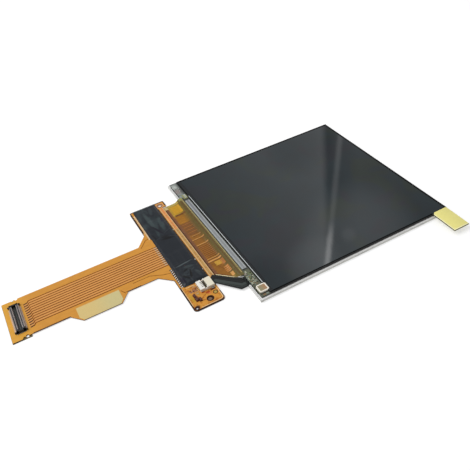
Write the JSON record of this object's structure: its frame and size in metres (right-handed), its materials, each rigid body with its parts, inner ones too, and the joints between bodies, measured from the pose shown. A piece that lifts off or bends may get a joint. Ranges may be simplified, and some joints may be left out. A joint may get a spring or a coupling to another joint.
{
  "type": "tft display module",
  "caption": "Near-square flat display panel with bonded flex film, a taped flexible board, a long connector tail and a pull tab.",
  "frame": {"origin": "centre of the panel's flat back face", "axes": "+X away from the connector tail, +Y along the ledge, +Z out of the screen"},
  "size_m": [0.1093, 0.0618, 0.0016],
  "materials": {
    "tray_steel": "stamped thin stainless steel",
    "frame_white": "moulded white polycarbonate",
    "reflector_silver": "mirror-like polymer film",
    "guide_clear": "polished clear acrylic",
    "sheet_white": "milky diffusing film",
    "sheet_prism": "clear prism film",
    "tape_black": "black double-sided tape",
    "lamp_yellow": "white lamp case with phosphor window",
    "lead_black": "black coverlay film",
    "polarizer_dark": "smooth dark polarizer film",
    "cell_glass": "thin display glass with metal tracks",
    "filter_glass": "thin display glass with a black border",
    "film_clear": "clear protective film over the dark screen",
    "tab_yellow": "pale yellow adhesive tape",
    "chip_silicon": "ground bare silicon",
    "paste_pink": "conductive paste dot with a pale rim",
    "film_amber": "amber polyimide film with copper tracks",
    "flex_orange": "orange polyimide coverlay with copper tracks",
    "stiffener_brown": "dark glass-fibre stiffener",
    "cover_tape_black": "black insulating tape",
    "capacitor_tan": "chip components with tinned ends",
    "package_black": "moulded chip packages",
    "label_yellow": "blank yellow label",
    "connector_white": "moulded ivory polymer",
    "contact_gold": "gold-plated contacts",
    "nail_tin": "tinned solder tabs",
    "connector_black": "moulded dark grey polymer"
  },
  "bodies": {
    "module": {"rear_tray": "tray_steel", "mould_frame": "frame_white", "reflector_sheet": "reflector_silver", "light_guide": "guide_clear", "diffuser_sheet": "sheet_white", "lower_prism_sheet": "sheet_prism", "upper_prism_sheet": "sheet_prism", "rim_tape": "tape_black", "backlight_leds": "lamp_yellow", "led_flex": "lead_black", "rear_polarizer": "polarizer_dark", "tft_glass": "cell_glass", "colour_filter_glass": "filter_glass", "front_polarizer": "polarizer_dark", "protective_film": "film_clear", "pull_tab": "tab_yellow", "driver_chip": "chip_silicon", "ground_dot": "paste_pink", "panel_film": "film_amber", "flex_board": "flex_orange", "board_stiffener": "stiffener_brown", "tail_stiffener": "stiffener_brown", "board_tape": "cover_tape_black", "chip_capacitors": "capacitor_tan", "supply_chips": "package_black", "tail_label": "label_yellow", "lead_connector_body": "connector_white", "lead_connector_contacts": "contact_gold", "lead_connector_nails": "nail_tin", "tail_connector_body": "connector_black", "tail_connector_contacts": "contact_gold", "tail_connector_nails": "nail_tin"},
    "lock_flap": {"lead_connector_flap": "connector_white"}
  },
  "joints": [
    {"name": "flap_hinge", "type": "hinge", "parent": "module", "child": "lock_flap", "pos_m": [-0.03644, -0.01525, 0.00104], "axis": [0, -1, 0], "range_deg": [0, 100]}
  ]
}
